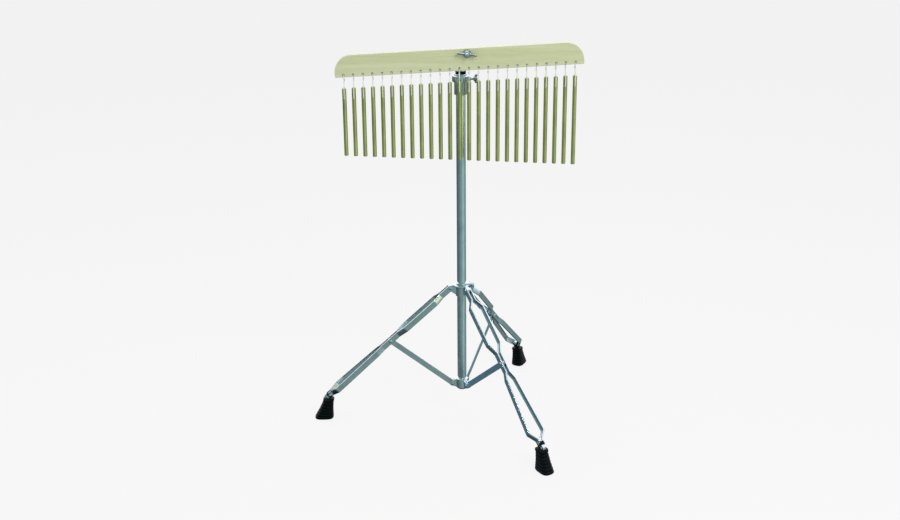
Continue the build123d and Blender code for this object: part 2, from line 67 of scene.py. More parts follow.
# The boot in millimetres: height, distance from the stand's axis, length and width.
FOOT_STATIONS = [(0.0, 350.0, 44.0, 31.0), (5.0, 349.4, 44.0, 31.0), (26.0, 343.5, 32.0, 26.0),
                 (46.0, 338.0, 24.0, 23.0), (54.0, 336.5, 24.0, 23.0)]
FOOT_RIBS, RIB_LOW, RIB_HIGH, RIB_DEPTH = 6, 1.5, 45.0, 3.0
RIM_LOW, RIM_HIGH, RIM_DEPTH = 46.5, 53.4, 1.9

BOARD_Y = -32.0 * MM  # from the stand's axis
BOARD_THICKNESS = 12.0 * MM
BOARD_ROLL = math.radians(2.8)
BOARD_CENTRE_X, BOARD_LOW_Z = -3.0 * MM, 882.9 * MM
HOLE_UP, HOLE_R = 6.0 * MM, 1.8 * MM
CHIMES, PITCH = 25, 22.0 * MM
BAR_R, BAR_DROP, BAR_HOLE_DOWN, BAR_HOLE_R = 4.75 * MM, 31.5 * MM, 24.0 * MM, 1.6 * MM
CORD_R, CORD_BEND = 0.75 * MM, 1.4 * MM
CORD_GAP, CORD_BOARD_GAP = 0.15 * MM, 0.3 * MM
KNOT_DOWN = 13.0 * MM

BOLT_R, BOLT_HEAD_R = 3.9 * MM, 6.4 * MM
WING_SPAN = 46.0 * MM
WING_TURN = math.radians(7.5)
PIN_R = 0.01 * MM  # radius that stands in for a closed point on a lathe profile

CAMERA_PITCH, CAMERA_ROLL, CAMERA_LENS = 0.336, -0.008, 46.64
CAMERA_PLACE = Vector((-0.02798, -2.67817, 1.35055))  # from the stand's axis

Z = Vector((0, 0, 1))

tube_low, tube_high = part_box("base_tube")
AXIS = Vector(((tube_low.x + tube_high.x) / 2, (tube_low.y + tube_high.y) / 2, 0))
JOINTS = {joint["name"]: joint for joint in frame["joints"]}


# ---------------------------------------------------------------- mesh helpers
def new_object(name, data):
    """An object in the scene that shows the mesh, lamp or camera data."""
    item = bpy.data.objects.new(name, data)
    bpy.context.scene.collection.objects.link(item)
    return item


def angles(count):
    """count equal steps round a full turn."""
    return [math.tau * j / count for j in range(count)]


def squared(value, power):
    """A sine or cosine raised to a power, with its sign: powers below 1 square a circle's corners."""
    return math.copysign(abs(value) ** power, value)


def finish_mesh(name, mesh, material, body, slot, *nodes, crease=32.0):
    """Turns a mesh into a piece: faces out, smooth with sharp creases and on its body. slot is not used.

    nodes are the CAD nodes that it takes the place of.
    """
    bm = bmesh.new()
    bm.from_mesh(mesh)
    bmesh.ops.remove_doubles(bm, verts=bm.verts, dist=1e-6)
    bmesh.ops.recalc_face_normals(bm, faces=bm.faces)
    for face in bm.faces:
        face.smooth = True
    for edge in bm.edges:
        edge.smooth = len(edge.link_faces) != 2 or edge.calc_face_angle(0) < math.radians(crease)
    bm.to_mesh(mesh)
    bm.free()
    mesh.materials.clear()
    mesh.materials.append(material)
    piece = new_object(name, mesh)
    if nodes:
        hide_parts(*nodes)
    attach(piece, body)


def mesh_from(name, parts):
    """One mesh from several (vertices, faces) parts."""
    verts, faces = [], []
    for part_verts, part_faces in parts:
        start = len(verts)
        verts.extend(part_verts)
        faces.extend(tuple(start + i for i in face) for face in part_faces)
    mesh = bpy.data.meshes.new(name)
    mesh.from_pydata([tuple(v) for v in verts], [], faces)
    return mesh


def loft(rings, closed=False):
    """Quads between rings of equal size, with a cap at each end unless the rings close on themselves."""
    count = len(rings[0])
    verts = [point for ring in rings for point in ring]
    spans = len(rings) if closed else len(rings) - 1
    faces = []
    for i in range(spans):
        here, after = i * count, (i + 1) % len(rings) * count
        for j in range(count):
            k = (j + 1) % count
            faces.append((here + j, here + k, after + k, after + j))
    if not closed:
        faces.append(tuple(reversed(range(count))))
        faces.append(tuple(range(len(verts) - count, len(verts))))
    return verts, faces


def placed(part, matrix):
    """The same part, moved by a matrix."""
    verts, faces = part
    return [matrix @ Vector(v) for v in verts], faces


def lathe(profile, segments=72, hollow=False):
    """Turns (radius, height) points round +Z. A hollow profile closes on itself."""
    turn = angles(segments)
    rings = []
    for radius, height in profile:
        rings.append([Vector((radius * math.cos(a), radius * math.sin(a), height)) for a in turn])
    return loft(rings, closed=hollow)


def along_axis(origin, direction, side):
    """A matrix that puts local +Z along direction and local +X towards side."""
    z = direction.normalized()
    x = (side - z * side.dot(z)).normalized()
    y = z.cross(x)
    matrix = Matrix((x, y, z)).transposed().to_4x4()
    matrix.translation = origin
    return matrix


def rounded_route(points, radius, steps=6):
    """The corner points of a route, each inner corner replaced by an arc."""
    route = [points[0]]
    for before, corner, after in zip(points, points[1:], points[2:]):
        into, out = (corner - before).normalized(), (after - corner).normalized()
        turn = into.angle(out)
        if turn < 1e-4:
            continue
        reach = radius * math.tan(turn / 2)
        start = corner - into * reach
        inward = (out - into * math.cos(turn)).normalized()
        for k in range(steps + 1):
            a = turn * k / steps
            route.append(start + into * (radius * math.sin(a)) + inward * (radius * (1 - math.cos(a))))
    route.append(points[-1])
    return route


def resampled(route, step):
    """The same route with points about one step apart."""
    points = [route[0]]
    for a, b in zip(route, route[1:]):
        count = max(1, round((b - a).length / step))
        points.extend(a + (b - a) * k / count for k in range(1, count + 1))
    return points


def tube(points, ring_at, closed=False):
    """Sweeps ring_at(distance, normal, side, centre) along points with a frame that doesn't twist."""
    rings = []
    tangent = (points[1] - points[0]).normalized()
    normal = tangent.orthogonal().normalized()
    distance = 0.0
    for i, point in enumerate(points):
        ahead = points[(i + 1) % len(points)] if closed else points[min(i + 1, len(points) - 1)]
        behind = points[i - 1] if closed or i else points[0]
        new_tangent = (ahead - behind).normalized()
        normal = tangent.rotation_difference(new_tangent) @ normal
        normal = (normal - new_tangent * normal.dot(new_tangent)).normalized()
        tangent = new_tangent
        rings.append(ring_at(distance, normal, tangent.cross(normal), point))
        if i + 1 < len(points):
            distance += (points[i + 1] - point).length
    return loft(rings, closed)


def evaluated(piece):
    """A new mesh with the piece's modifiers applied."""
    graph = bpy.context.evaluated_depsgraph_get()
    return bpy.data.meshes.new_from_object(piece.evaluated_get(graph))


def cast_in_one(mesh, voxel, smooth_rounds):
    """Fuses overlapping shells into one skin and softens its corners, like a casting."""
    scratch = new_object("scratch", mesh)
    remesh = scratch.modifiers.new("remesh", "REMESH")
    remesh.mode = "VOXEL"
    remesh.voxel_size = voxel
    remesh.adaptivity = 0.0
    soften = scratch.modifiers.new("soften", "SMOOTH")
    soften.factor = 0.5
    soften.iterations = smooth_rounds
    result = evaluated(scratch)
    bpy.data.objects.remove(scratch)
    return result


# ---------------------------------------------------------------- materials
MIX_FIRST, MIX_SECOND, MIX_RESULT = 6, 7, 2  # a mix node's sockets for colours


def node_adder(tree):
    """A function that adds a node to a tree, with its links and its settings or input values."""

    def add(kind, links=(), **values):
        """Adds a node of a kind. links gives a source for each input socket."""
        node = tree.nodes.new(kind)
        for key, value in values.items():
            if hasattr(node, key):
                setattr(node, key, value)
            else:
                node.inputs[key.replace("_", " ")].default_value = value
        for socket, source in dict(links).items():
            tree.links.new(source, node.inputs[socket])
        return node

    return add


def new_material(name):
    """A material with its Principled shader, a function that adds nodes, and one that links sockets."""
    material = bpy.data.materials.new(name)
    material.use_nodes = True
    tree = material.node_tree
    return material, tree.nodes["Principled BSDF"], node_adder(tree), tree.links.new


def calculated(add, operation, first, second):
    """A math node's result. second is a socket or a number."""
    if isinstance(second, (int, float)):
        node = add("ShaderNodeMath", {0: first}, operation=operation)
        node.inputs[1].default_value = second
    else:
        node = add("ShaderNodeMath", {0: first, 1: second}, operation=operation)
    return node.outputs[0]


def multiplied(add, first, second, factor):
    """Two colours multiplied, as far as factor says."""
    sockets = {MIX_FIRST: first, MIX_SECOND: second}
    node = add("ShaderNodeMix", sockets, data_type="RGBA", blend_type="MULTIPLY")
    node.inputs["Factor"].default_value = factor
    return node.outputs[MIX_RESULT]


def stretched(add, scale, rotation=(0, 0, 0)):
    """Object coordinates, scaled along each axis."""
    place = add("ShaderNodeTexCoord").outputs["Object"]
    return add("ShaderNodeMapping", {"Vector": place}, Scale=scale, Rotation=rotation).outputs[0]


def noise(add, vector, detail=4.0, roughness=0.55, distortion=0.0):
    """A noise texture's value."""
    node = add("ShaderNodeTexNoise", {"Vector": vector}, Scale=1.0, Detail=detail, Roughness=roughness)
    node.inputs["Distortion"].default_value = distortion
    return node.outputs["Fac"]


def ramp(add, source, stops):
    """A colour ramp's colour, from (position, colour) stops."""
    node = add("ShaderNodeValToRGB", {"Fac": source})
    elements = node.color_ramp.elements
    while len(elements) < len(stops):
        elements.new(0.5)
    for element, (position, colour) in zip(elements, stops):
        element.position = position
        element.color = (*colour, 1.0)
    return node.outputs["Color"]


def levels(add, source, low, high, start=0.3, end=0.7):
    """Maps start..end, which is where a noise varies most, to low..high."""
    span = {"From_Min": start, "From_Max": end, "To_Min": low, "To_Max": high}
    node = add("ShaderNodeMapRange", {"Value": source}, **span)
    return node.outputs["Result"]


def bump(add, height, strength, distance):
    """A normal that follows a height value."""
    return add("ShaderNodeBump", {"Height": height}, Strength=strength, Distance=distance).outputs["Normal"]


def tinted(colour, factor):
    """A colour with each channel multiplied."""
    return tuple(channel * factor for channel in colour)


def chrome(name, colour, polish, grain, grain_scale):
    """Plated metal: clouded reflections, fine draw lines along grain_scale, and small dull spots."""
    material, shader, add, link = new_material(name)
    clouds = noise(add, stretched(add, (45, 45, 45)), detail=5)
    lines = noise(add, stretched(add, grain_scale), detail=3)
    spots = noise(add, stretched(add, (900, 900, 900)), detail=2)
    stops = [(0.3, tinted(colour, 0.86)), (0.5, colour), (0.72, tinted(colour, 1.08))]
    link(ramp(add, clouds, stops), shader.inputs["Base Color"])
    shader.inputs["Metallic"].default_value = 1.0
    mean = calculated(add, "MULTIPLY", calculated(add, "ADD", lines, clouds), 0.5)
    link(levels(add, mean, polish, polish + 0.14), shader.inputs["Roughness"])
    link(bump(add, calculated(add, "ADD", lines, spots), grain, 0.1 * MM), shader.inputs["Normal"])
    return material


def anodised(name, colour):
    """Tinted, drawn metal with fine lines along the bar, light scuffs, duller patches and dark sawn ends."""
    material, shader, add, link = new_material(name)
    lines = noise(add, stretched(add, (1600, 1600, 12)), detail=3)
    patches = noise(add, stretched(add, (60, 60, 25)), detail=5)
    scuffs = noise(add, stretched(add, (300, 300, 1100)), detail=2)
    stops = [(0.3, tinted(colour, 0.8)), (0.52, colour), (0.75, tinted(colour, 1.15))]
    facing = add("ShaderNodeSeparateXYZ", {0: add("ShaderNodeTexCoord").outputs["Normal"]})
    upright = add("ShaderNodeMath", {0: facing.outputs["Z"]}, operation="ABSOLUTE").outputs[0]
    sawn = ramp(add, upright, [(0.75, (0, 0, 0)), (0.92, (1, 1, 1))])
    body = add("ShaderNodeMix", {"Factor": sawn, MIX_FIRST: ramp(add, patches, stops)}, data_type="RGBA")
    body.inputs[MIX_SECOND].default_value = (*tinted(colour, 0.3), 1)
    link(body.outputs[MIX_RESULT], shader.inputs["Base Color"])
    shader.inputs["Metallic"].default_value = 1.0
    rough = calculated(add, "MAXIMUM", levels(add, lines, 0.17, 0.32), sawn)
    link(calculated(add, "MINIMUM", rough, 0.5), shader.inputs["Roughness"])
    link(bump(add, calculated(add, "ADD", lines, scuffs), 0.1, 0.1 * MM), shader.inputs["Normal"])
    return material


def lacquered_wood(name):
    """Pale hardwood with long grain, darker bands and short open pores, lacquered, with painted shade in the
    drilled holes and where other parts come close.
    """
    material, shader, add, link = new_material(name)
    turn = (0, BOARD_ROLL, 0)
    bands = noise(add, stretched(add, (3.0, 30, 85), turn), detail=5, roughness=0.6, distortion=0.6)
    fibre = noise(add, stretched(add, (22, 300, 900), turn), detail=4)
    pores = noise(add, stretched(add, (60, 900, 2600), turn), detail=2)
    pale, mid, deep = (0.440, 0.475, 0.296), (0.412, 0.447, 0.266), (0.378, 0.412, 0.232)
    broad = ramp(add, bands, [(0.28, deep), (0.47, mid), (0.68, pale)])
    fine = ramp(add, fibre, [(0.3, (0.88, 0.87, 0.83)), (0.6, (1, 1, 1))])
    pits = ramp(add, pores, [(0.3, (0.62, 0.6, 0.5)), (0.4, (1, 1, 1))])
    grained = multiplied(add, multiplied(add, broad, fine, 0.7), pits, 0.5)
    # Painted shade: ambient occlusion darkens the base colour to near black in the holes and next to the
    # washer and cords.
    openness = add("ShaderNodeAmbientOcclusion", Distance=4 * MM).outputs["AO"]
    painted_crevice_shade = ramp(add, openness, [(0.55, (0.015, 0.018, 0.012)), (0.85, (1, 1, 1))])
    link(multiplied(add, grained, painted_crevice_shade, 1.0), shader.inputs["Base Color"])
    link(levels(add, fibre, 0.36, 0.5), shader.inputs["Roughness"])
    link(bump(add, fibre, 0.25, 0.2 * MM), shader.inputs["Normal"])
    shader.inputs["Coat Weight"].default_value = 0.25
    shader.inputs["Coat Roughness"].default_value = 0.3
    return material


def moulded(name, colour, roughness, grain):
    """Black rubber or nylon with a fine moulded grain, dusty high spots and uneven sheen."""
    material, shader, add, link = new_material(name)
    dust = noise(add, stretched(add, (160, 160, 160)), detail=6, roughness=0.7)
    grains = noise(add, stretched(add, (1500, 1500, 1500)), detail=2)
    lighter = tuple(channel * 2.0 + 0.0006 for channel in colour)
    link(ramp(add, dust, [(0.45, colour), (0.8, lighter)]), shader.inputs["Base Color"])
    link(levels(add, dust, roughness - 0.08, roughness + 0.1), shader.inputs["Roughness"])
    link(bump(add, grains, grain, 0.2 * MM), shader.inputs["Normal"])
    shader.inputs["Specular IOR Level"].default_value = 0.1
    return material


def nylon(name):
    """White nylon cord: slightly uneven, with a soft sheen."""
    material, shader, add, link = new_material(name)
    stain = noise(add, stretched(add, (120, 120, 60)), detail=4)
    fibre = noise(add, stretched(add, (2600, 2600, 2600)), detail=2)
    stops = [(0.3, (0.46, 0.51, 0.51)), (0.6, (0.60, 0.64, 0.62))]
    link(ramp(add, stain, stops), shader.inputs["Base Color"])
    link(levels(add, fibre, 0.45, 0.65), shader.inputs["Roughness"])
    link(bump(add, fibre, 0.3, 0.1 * MM), shader.inputs["Normal"])
    shader.inputs["Sheen Weight"].default_value = 0.3
    return material


# Painted reflection: part of the plating colour's teal is the surroundings' cast painted in. Bare chrome is
# neutral, and the rest of the teal comes from the tinted surroundings.
TEAL_CAST_PLATE = (0.60, 0.74, 0.75)  # the plating's reflected colour
MATERIALS = {
    "tube": chrome("tube_plating", TEAL_CAST_PLATE, 0.10, 0.06, (900, 900, 14)),
    "cast": chrome("cast_plating", tinted(TEAL_CAST_PLATE, 0.98), 0.14, 0.16, (260, 260, 260)),
    "strap": chrome("strap_plating", tinted(TEAL_CAST_PLATE, 0.92), 0.13, 0.08, (140, 140, 140)),
    "hardware": chrome("hardware_plating", tinted(TEAL_CAST_PLATE, 1.08), 0.09, 0.10, (420, 420, 420)),
    # The nut plating is the same chrome darkened, painted shade for the wing nut's and wing screws' dark
    # wings.
    "nut": chrome("shaded_nut_plating", tinted(TEAL_CAST_PLATE, 0.6), 0.12, 0.10, (420, 420, 420)),
    "steel": chrome("rivet_steel", TEAL_CAST_PLATE, 0.16, 0.12, (500, 500, 500)),
    "bar": anodised("bar_anodising", (0.78, 0.77, 0.28)),
    "wood": lacquered_wood("board_wood"),
    "rubber": moulded("foot_rubber", (0.0007, 0.0022, 0.0026), 0.38, 0.25),
    "plastic": moulded("black_nylon", (0.0012, 0.0028, 0.0038), 0.32, 0.12),
    "pad": moulded("pad_rubber", (0.008, 0.009, 0.010), 0.6, 0.4),
    "cord": nylon("cord_nylon"),
}


# ---------------------------------------------------------------- carried-over CAD nodes
CARRIED = {
    "cast": ["height_clamp", "leg_collar", "brace_collar", "mantle_clamp"],
    "hardware": ["mantle_rod", "mantle_washer"],
    "steel": ["brace_pins"] + [f"leg_{k}_{part}" for k in LEG_AZIMUTHS for part in ("rivets", "foot_stem")],
    "strap": [f"brace_{k}" for k in LEG_AZIMUTHS],
    "plastic": ["tube_end_plug", "clamp_bushing"],
    "pad": ["mantle_pad"],
    "wood": ["mantle_board"],
}


def dress_cad_nodes():
    """Gives the CAD nodes that stay visible their materials."""
    for key, names in CARRIED.items():
        for name in names:
            slots = frame["nodes"][name].data.materials
            if len(slots) == 0:
                slots.append(MATERIALS[key])
            for i in range(len(slots)):
                slots[i] = MATERIALS[key]


# ---------------------------------------------------------------- tubes
def stand_tube(name, radius, wall, body):
    """A drawn tube with turned-in, softly rounded ends."""
    low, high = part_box(name)
    lip = 0.5 * MM
    bore = radius - wall
    profile = []
    for height, sign in ((low.z, 1), (high.z, -1)):
        end = [(bore, height + sign * lip), (bore + lip * 0.4, height), (radius - lip, height)]
        end += [(radius - lip * 0.3, height + sign * lip * 0.3), (radius, height + sign * lip)]
        profile.extend(end if sign > 0 else reversed(end))
    part = placed(lathe(profile, 96, hollow=True), Matrix.Translation(AXIS))
    finish_mesh(f"{name}_drawn", mesh_from(name, [part]), MATERIALS["tube"], body, "tube_chrome", name)


# ---------------------------------------------------------------- legs
def strap_section():
    """The channel section of a strap, as (across its width, outwards) points in order."""
    half, deep, sheet = STRAP_WIDTH / 2, STRAP_DEPTH / 2, STRAP_SHEET
    corner, inner, arc_steps = 1.5 * MM, 0.5 * MM, 4
    wall_inside = half - sheet * 0.8
    outline = []
    for sign in (-1, 1):
        arc = []
        for k in range(arc_steps + 1):
            a = math.pi / 2 * k / arc_steps
            arc.append((sign * (half - corner + corner * math.cos(a)), deep - corner + corner * math.sin(a)))
        outline.extend(arc if sign < 0 else reversed(arc))
    outline.extend([(half, -deep), (wall_inside, -deep)])
    for sign in (1, -1):
        wall, web = sign * wall_inside, deep - sheet
        pair = [(wall, web - inner), (wall - sign * inner, web)]
        outline.extend(pair if sign > 0 else reversed(pair))
    outline.extend([(-wall_inside, -deep), (-half, -deep)])
    return outline


def leg_directions(letter):
    """The level directions out from the stand's axis to the leg's foot, and across the leg."""
    azimuth = LEG_AZIMUTHS[letter]
    outward = Vector((math.cos(azimuth), math.sin(azimuth), 0))
    return outward, Vector((-math.sin(azimuth), math.cos(azimuth), 0))


def leg_frame(letter):
    """The leg's pivot, and the directions along it, across it and out of its flat side."""
    pivot = Vector(JOINTS[f"leg_{letter}_hinge"]["pos_m"])
    outward, across = leg_directions(letter)
    along = outward * math.sin(LEG_ANGLE) - Z * math.cos(LEG_ANGLE)
    return pivot, along, across, along.cross(across)


def strap(letter, side, name):
    """One bent channel strap, from its rounded end at the collar to its rounded end at the foot."""
    pivot, along, across, face = leg_frame(letter)
    half = STRAP_WIDTH / 2
    reach = half * 0.985  # just short of a half circle, so that the end stays a face
    narrowest = 0.12
    start, end = -reach, LEG_LENGTH + reach
    corners = [(start, None), *STRAP_ROUTE, (end, None)]
    flat = [Vector((t, side * (STRAP_CLOSE if n is None else n), 0)) for t, n in corners]
    route = resampled(rounded_route(flat, STRAP_BEND), 2.0 * MM)
    section = strap_section()
    rings = []
    for i, point in enumerate(route):
        tangent = (route[min(i + 1, len(route) - 1)] - route[max(i - 1, 0)]).normalized()
        out = Vector((-tangent.y, tangent.x, 0)) * side
        beyond = max(0.0, -point.x, point.x - LEG_LENGTH)
        narrow = math.sqrt(max(half**2 - beyond**2, 0)) / half
        ring = []
        for u, v in section:
            place = point + out * v
            ring.append(pivot + along * place.x + across * place.y + face * (u * max(narrow, narrowest)))
        rings.append(ring)
    node = f"leg_{letter}_{'right' if side > 0 else 'left'}_strap"
    mesh = mesh_from(name, [loft(rings)])
    finish_mesh(name, mesh, MATERIALS["strap"], f"leg_{letter}", "strap_chrome", node, crease=40)


def end_sleeve(letter):
    """A black shrink sleeve round the straps' ends, just above the foot."""
    pivot, along, across, face = leg_frame(letter)
    centre = pivot + along * (LEG_LENGTH + 1.0 * MM)
    sheet, half_long = 0.5 * MM, 4.6 * MM
    half_wide, half_deep = STRAP_WIDTH / 2 + sheet, STRAP_CLOSE + STRAP_DEPTH / 2 + sheet
    corner_power = 0.5
    rings = []
    for step, swell in ((-1.0, 0.94), (-0.9, 1.0), (-0.3, 1.03), (0.3, 1.03), (0.9, 1.0), (1.0, 0.94)):
        ring = []
        for a in angles(40):
            u = squared(math.cos(a), corner_power) * half_wide * swell
            v = squared(math.sin(a), corner_power) * half_deep * swell
            ring.append(centre + along * (half_long * step) + face * u + across * v)
        rings.append(ring)
    name = f"leg_{letter}_end_sleeve"
    finish_mesh(name, mesh_from(name, [loft(rings)]), MATERIALS["plastic"], f"leg_{letter}", "black_plastic")


def foot_size(height):
    """The boot's distance from the stand's axis, length and width at a height, in millimetres."""
    for (z0, *low), (z1, *high) in zip(FOOT_STATIONS, FOOT_STATIONS[1:]):
        if height <= z1:
            share = (height - z0) / (z1 - z0)
            return [a + (b - a) * share for a, b in zip(low, high)]
    return FOOT_STATIONS[-1][1:]


def foot_swell(height):
    """How far the skin stands out at a height, in millimetres: sole edge, ribs, neck and rim."""
    sole_edge, mouth_edge = 1.0, 53.9
    if height < sole_edge:
        return -((sole_edge - height) ** 2)
    if RIB_LOW < height < RIB_HIGH:
        phase = FOOT_RIBS * (height - RIB_LOW) / (RIB_HIGH - RIB_LOW) % 1.0
        body = min(1.0, phase / 0.16, (1.0 - phase) / 0.34)
        return RIB_DEPTH * (body**0.7 - 0.62)
    if RIM_LOW < height < RIM_HIGH:
        return RIM_DEPTH * min(1.0, (height - RIM_LOW) / 0.9, (RIM_HIGH - height) / 1.2)
    if height > mouth_edge:
        return -1.4
    return -0.6 if height > RIB_HIGH else 0.0


def foot_boot(letter):
    """The ribbed rubber boot: a flared body with moulded ribs, a thick rim and a rounded sole."""
    outward, across = leg_directions(letter)
    rib_steps = 96
    heights = [0.0, 0.25, 0.6, 1.0, RIB_LOW]
    heights += [RIB_LOW + (RIB_HIGH - RIB_LOW) * k / rib_steps for k in range(1, rib_steps + 1)]
    heights += [46.0, 46.6, 47.0, 47.4, 50.0, 52.2, 52.8, RIM_HIGH, 53.7, FOOT_STATIONS[-1][0]]
    rings = []
    for height in heights:
        middle, long, wide = foot_size(height)
        grow = foot_swell(height)
        rings.append(superellipse(outward, across, middle, long / 2 + grow, wide / 2 + grow, height))
    # The collar of the mouth turns in and down round the stem.
    for half_long, half_wide, height in ((6.6, 6.1, 53.6), (6.2, 5.7, 52.0)):
        rings.append(superellipse(outward, across, middle, half_long, half_wide, height))
    name = f"leg_{letter}_foot_boot"
    mesh = mesh_from(name, [loft(rings), *foot_nubs(outward, across)])
    body, node = f"leg_{letter}", f"leg_{letter}_foot"
    finish_mesh(name, mesh, MATERIALS["rubber"], body, "foot_rubber", node, crease=50)


def superellipse(outward, across, middle, long, wide, height, count=88, power=0.62):
    """A rounded-rectangle ring, in millimetres, at a distance from the stand's axis."""
    ring = []
    for a in angles(count):
        u = squared(math.cos(a), power) * long
        v = squared(math.sin(a), power) * wide
        ring.append(AXIS + (outward * (middle + u) + across * v + Z * height) * MM)
    return ring


def foot_nubs(outward, across):
    """Rows of small moulded nubs on the boot's two flat sides."""
    dome = [(1.15 * MM, 0.0), (1.1 * MM, 0.45 * MM), (0.8 * MM, 0.85 * MM), (0.3 * MM, 1.02 * MM)]
    first_row, row_pitch, sunk = 10.2, 7.4, 0.5
    parts = []
    for row, columns in enumerate((4, 4, 4, 3)):
        height = first_row + row_pitch * row
        middle, long, wide = foot_size(height)
        for column in range(columns):
            u = (column - 1.5) * long * 0.19
            for sign in (-1, 1):
                base = AXIS + (outward * (middle + u) + across * sign * (wide / 2 - sunk) + Z * height) * MM
                parts.append(placed(lathe(dome, 12), along_axis(base, across * sign, outward)))
    return parts


# ---------------------------------------------------------------- chimes
def chime_hole(number):
    """The board's hole for a chime, in its middle plane."""
    along, up = (number - (CHIMES + 1) / 2) * PITCH, HOLE_UP
    x = BOARD_CENTRE_X + along * math.cos(BOARD_ROLL) - up * math.sin(BOARD_ROLL)
    z = BOARD_LOW_Z + along * math.sin(BOARD_ROLL) + up * math.cos(BOARD_ROLL)
    return AXIS + Vector((x, BOARD_Y, z))


def chime_bar(number):
    """The bar alone, taken from the CAD node that holds it together with its cord."""
    node = f"chime_{number:02d}"
    mesh = frame["nodes"][node].data.copy()
    bm = bmesh.new()
    bm.from_mesh(mesh)
    bmesh.ops.remove_doubles(bm, verts=bm.verts, dist=1e-6)
    lowest = min(bm.verts, key=lambda v: v.co.z)
    bar, edge = {lowest}, [lowest]
    while edge:
        vert = edge.pop()
        for side in vert.link_edges:
            other = side.other_vert(vert)
            if other not in bar:
                bar.add(other)
                edge.append(other)
    bmesh.ops.delete(bm, geom=[v for v in bm.verts if v not in bar], context="VERTS")
    bm.to_mesh(mesh)
    bm.free()
    finish_mesh(f"{node}_bar", mesh, MATERIALS["bar"], node, "chime_metal", node, crease=25)


def cord_ring(distance, normal, side, centre, radius=CORD_R, lobes=3, lay=4.2 * MM, count=15):
    """A laid cord's section, turned a little further at each step along it."""
    ring = []
    for a in angles(count):
        bulge = abs(math.cos(lobes * (a - math.tau * distance / lay) / 2))
        r = radius * (0.84 + 0.16 * bulge)
        ring.append(centre + normal * (r * math.cos(a)) + side * (r * math.sin(a)))
    return ring


def knot_part(centre):
    """An overhand knot, drawn tight, with its two short ends."""
    points = []
    for t in angles(72):
        x, y, z = math.sin(t) + 2 * math.sin(2 * t), math.cos(t) - 2 * math.cos(2 * t), -math.sin(3 * t)
        points.append(centre + Vector((x * 0.5, z * 0.55, y * 0.5)) * MM)
    radius = 0.62 * MM
    parts = [tube(points, lambda *args: cord_ring(*args, radius=radius, lay=2.6 * MM), closed=True)]
    for lean in (-1, 1):
        tail = [Vector((0.3 * lean, 0, 0)), Vector((1.0 * lean, 0.1, -1.6)), Vector((1.4 * lean, 0.2, -4.6))]
        route = resampled(rounded_route([centre + v * MM for v in tail], 2.5 * MM), 0.5 * MM)
        parts.append(tube(route, lambda *args: cord_ring(*args, radius=radius, lay=3.0 * MM)))
    return parts


def chime_cord(number):
    """The cord loop, through the board's hole and the bar's, tied at the back."""
    hole = chime_hole(number)
    low = -BAR_DROP - BAR_HOLE_DOWN + BAR_HOLE_R - CORD_R - CORD_GAP
    high = -HOLE_R + CORD_R + CORD_GAP
    by_board = BOARD_THICKNESS / 2 + CORD_R + CORD_BOARD_GAP
    by_bar = BAR_R + CORD_R + CORD_GAP
    split = 0.6 * MM
    corners = [
        (by_board, -KNOT_DOWN - split),
        (by_bar, low),
        (-by_bar, low),
        (-by_board, high),
        (by_board, high),
        (by_board, -KNOT_DOWN + split),
    ]
    points = [hole + Vector((0, y, z)) for y, z in corners]
    route = resampled(rounded_route(points, CORD_BEND), 0.6 * MM)
    parts = [tube(route, cord_ring), *knot_part(hole + Vector((0, by_board, -KNOT_DOWN)))]
    node = f"chime_{number:02d}"
    finish_mesh(f"{node}_cord", mesh_from(node, parts), MATERIALS["cord"], node, "cord_nylon", crease=70)


# ---------------------------------------------------------------- wing nut, wing screws and bolt
def ear(span, rise, root, tip, thickness):
    """One wing, from the hub's middle out along +X. It rises along +Z and ends in a thick, rounded tip."""
    rings = []
    steps, tip_from = 18, 0.8
    for k in range(steps + 1):
        s = k / steps
        centre = Vector((span * s, 0, rise[0] + (rise[1] - rise[0]) * s**1.2))
        swell = root + (tip - root) * s
        thick = thickness * (1.15 - 0.35 * math.sin(math.pi * min(1.0, s * 1.1)))
        if s > tip_from:
            fade = math.sqrt(max(0.0, 1 - ((s - tip_from) / (1 - tip_from)) ** 2))
            swell *= max(fade, 0.12)
            thick *= max(fade, 0.2)
        ring = []
        for a in angles(28):
            ring.append(centre + Vector((0, math.sin(a) * thick / 2, math.cos(a) * swell / 2)))
        rings.append(ring)
    return loft(rings)


def winged(node, matrix, hub, bore, wings, casting, body):
    """A cast hub with two wings in one skin, round +Z before matrix moves it.

    hub is a list of (radius, height) from the seat outwards, wings holds the ear's sizes, and casting
    holds the voxel size and the rounds of smoothing.
    """
    seat, top = hub[0][1], hub[-1][1]
    if bore:
        turned = lathe([*hub, (bore, top), (bore, seat)], 64, hollow=True)
    else:
        turned = lathe([(PIN_R, seat), *hub, (PIN_R, top)], 64)
    parts = [turned]
    for turn in (0, math.pi):
        parts.append(placed(ear(*wings), Matrix.Rotation(turn, 4, "Z")))
    cast = cast_in_one(mesh_from(node, parts), *casting)
    cast.transform(matrix)
    finish_mesh(f"{node}_cast", cast, MATERIALS["nut"], body, "hardware_chrome", node, crease=60)


def mantle_nut():
    """The wing nut on the front of the board, with its wings a little turned."""
    joint = JOINTS["wing_nut_turn"]["pos_m"]
    seat = Vector((joint[0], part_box("mantle_wing_nut")[1].y, joint[2]))
    side = Vector((math.cos(WING_TURN), 0, -math.sin(WING_TURN)))
    hub = [(8.0, 0), (8.3, 0.5), (8.3, 1.5), (7.6, 3.2), (6.7, 6.5), (6.2, 9.6), (5.7, 10.6), (5.0, 11.0)]
    hub = [(r * MM, h * MM) for r, h in hub]
    wings = (WING_SPAN / 2, (4.4 * MM, 8.6 * MM), 7.5 * MM, 9.0 * MM, 5.8 * MM)
    matrix = along_axis(seat, Vector((0, -1, 0)), side)
    bore = BOLT_R + 0.25 * MM  # clear of the bolt's thread after the skin has been smoothed
    winged("mantle_wing_nut", matrix, hub, bore, wings, (0.38 * MM, 5), "wing_nut")


